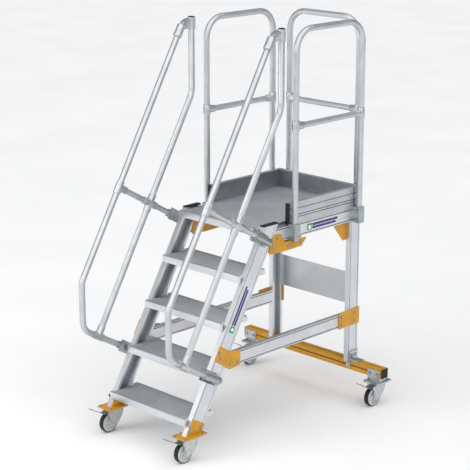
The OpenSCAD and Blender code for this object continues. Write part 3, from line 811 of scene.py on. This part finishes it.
# %% Ball race tree
def ball_race_tree():
    tree, given, result = new_tree(
        "ball race",
        {
            "Balls": "NodeSocketInt",
            "Race Radius": "NodeSocketFloat",
            "Ball Radius": "NodeSocketFloat",
            "Centre": "NodeSocketVector",
            "Metal": "NodeSocketMaterial",
        },
    )
    circle = put(
        tree,
        "GeometryNodeMeshCircle",
        {"Vertices": given["Balls"], "Radius": given["Race Radius"]},
    )
    placed = put(
        tree,
        "GeometryNodeTransform",
        {"Geometry": circle.outputs["Mesh"], "Translation": given["Centre"]},
    )
    ball = put(tree, "GeometryNodeMeshIcoSphere", {"Radius": given["Ball Radius"], "Subdivisions": 1})
    balls = put(
        tree,
        "GeometryNodeInstanceOnPoints",
        {"Points": placed.outputs["Geometry"], "Instance": ball.outputs["Mesh"]},
    )
    end_with_metal(tree, balls, given["Metal"], result)
    return tree


RACE_DROP = 1.6 * MM
race_tree = ball_race_tree()
joints = {joint["name"]: joint for joint in frame["record"]["behaviour"]["joints"]}
for corner in CORNERS:
    swivel = joints[f"{corner}_swivel"]
    fork_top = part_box(f"{corner}_fork")[1][2]
    values = {
        "Balls": 26,
        "Race Radius": 34.5 * MM,
        "Ball Radius": 1.5 * MM,
        "Centre": (swivel["pos_m"][0], swivel["pos_m"][1], fork_top - RACE_DROP),
        "Metal": bolt_zinc,
    }
    race_start = bpy.data.meshes.new(f"{corner}_ball_race")
    grow(f"{corner}_ball_race", race_start, race_tree, values, f"{corner}_castor")

# %% [markdown]
# ## Fine ribs in the plank grooves
#
# Between the broad ribs of a tread lie two fine ones, which keep a boot from sliding. They are the
# same bar over and over at an even pitch, so a tree lays them out: a line of points down the plank,
# a bar with six sides on each point. Every size is an input of the tree.


# %% Rib tree
def rib_tree():
    tree, given, result = new_tree(
        "ribs across a plank",
        {
            "Count": "NodeSocketInt",
            "Pitch": "NodeSocketFloat",
            "First Rib": "NodeSocketVector",
            "Rib Length": "NodeSocketFloat",
            "Rib Radius": "NodeSocketFloat",
            "Metal": "NodeSocketMaterial",
        },
    )
    step = put(tree, "ShaderNodeCombineXYZ", {"Y": given["Pitch"]})
    line = put(
        tree,
        "GeometryNodeMeshLine",
        {"Count": given["Count"], "Start Location": given["First Rib"], "Offset": step.outputs[0]},
        mode="OFFSET",
    )
    bar = put(
        tree,
        "GeometryNodeMeshCylinder",
        {"Vertices": 6, "Radius": given["Rib Radius"], "Depth": given["Rib Length"]},
        fill_type="NGON",
    )
    lying = put(
        tree,
        "GeometryNodeTransform",
        {"Geometry": bar.outputs["Mesh"], "Rotation": (0, math.pi / 2, 0)},
    )
    bars = put(
        tree,
        "GeometryNodeInstanceOnPoints",
        {"Points": line.outputs["Mesh"], "Instance": lying.outputs["Geometry"]},
    )
    end_with_metal(tree, bars, given["Metal"], result)
    return tree


RIB_PITCH = 16 * MM
GROOVE = RIB_PITCH / 2
RIB_LENGTH = 585 * MM
RIB_DROP = 2 * MM
ribs_across = rib_tree()


def groove_ribs(name, node, first_rib_mm, groove_count, metal, which):
    low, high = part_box(node)
    first = low[1] + first_rib_mm * MM + GROOVE + GROOVE * which / 3
    values = {
        "Count": groove_count,
        "Pitch": RIB_PITCH,
        "First Rib": (0, first, high[2] - RIB_DROP),
        "Rib Length": RIB_LENGTH,
        "Rib Radius": 1.3 * MM,
        "Metal": metal,
    }
    empty = bpy.data.meshes.new(name)
    return grow(name, empty, ribs_across, values, "frame")


for number in range(1, 5):
    tread = f"tread_{number}"
    for which in (1, 2):
        groove_ribs(f"{tread}_fine_ribs_{which}", tread, 12, 11, tread_metal, which)
for which in (1, 2):
    groove_ribs(f"deck_fine_ribs_{which}", "deck", 14, 49, deck_metal, which)

# %% [markdown]
# ## Stage, light and camera
#
# The steps stand on a wide pale floor. A very soft sun stands over the front right, a square lamp
# fills the front left, and a pale sky gives the metal something even to reflect.

# %% Floor
FLOOR_HALF = 60
floor_shape = bmesh.new()
bmesh.ops.create_grid(floor_shape, x_segments=1, y_segments=1, size=FLOOR_HALF)
floor_mesh = bpy.data.meshes.new("floor")
floor_shape.to_mesh(floor_mesh)
floor_shape.free()
floor = bpy.data.objects.new("floor", floor_mesh)
bpy.context.collection.objects.link(floor)
pale_floor = moulded("pale_studio_floor", "#FBFBFB", "#F7F7F7", 900, 30, 0.8, 0.0)
floor_mesh.materials.append(pale_floor)
print("floor side:", 2 * FLOOR_HALF, "m")


# %% Lights and sky
def soft_light(name, place, aim, side, watts):
    lamp = bpy.data.lights.new(name, "AREA")
    lamp.shape = "RECTANGLE"
    lamp.size = side
    lamp.size_y = side
    lamp.energy = watts
    holder = bpy.data.objects.new(name, lamp)
    holder.location = place
    holder.rotation_mode = "QUATERNION"
    holder.rotation_quaternion = (Vector(aim) - Vector(place)).to_track_quat("-Z", "Y")
    bpy.context.collection.objects.link(holder)
    return holder


soft_light("front fill", (-2.5, -6.0, 3.5), (0, 0, 1.0), 4.0, 120)
daylight = bpy.data.lights.new("soft sun", "SUN")
daylight.energy = 2.5
daylight.angle = math.radians(110)
sun_holder = bpy.data.objects.new("soft sun", daylight)
sun_holder.rotation_mode = "QUATERNION"
sun_holder.rotation_quaternion = Vector((-0.55, 0.45, -1.0)).to_track_quat("-Z", "Y")
bpy.context.collection.objects.link(sun_holder)
sky = bpy.data.worlds.new("studio")
bpy.context.scene.world = sky
sky.use_nodes = True
background = sky.node_tree.nodes["Background"]
background.inputs["Color"].default_value = paint("#F4F6F8")
background.inputs["Strength"].default_value = 0.36
bpy.context.scene.view_settings.view_transform = "Standard"

# %% [markdown]
# The camera stands in front of the steps on their right and looks a little down, from far enough
# away that upright lines stay nearly parallel.

# %% Camera
lens = bpy.data.cameras.new("camera")
lens.lens = 118.03
lens.sensor_width = 36
lens.shift_x = -0.0033
lens.shift_y = 0.0079
lens.clip_end = 200
camera = bpy.data.objects.new("camera", lens)
camera.location = (5.938, -5.968, 3.433)
camera.rotation_euler = (math.radians(74.316), 0, math.radians(44.549))
bpy.context.collection.objects.link(camera)
bpy.context.scene.camera = camera
print("camera at", [round(v, 2) for v in camera.location], "m, lens", lens.lens, "mm")
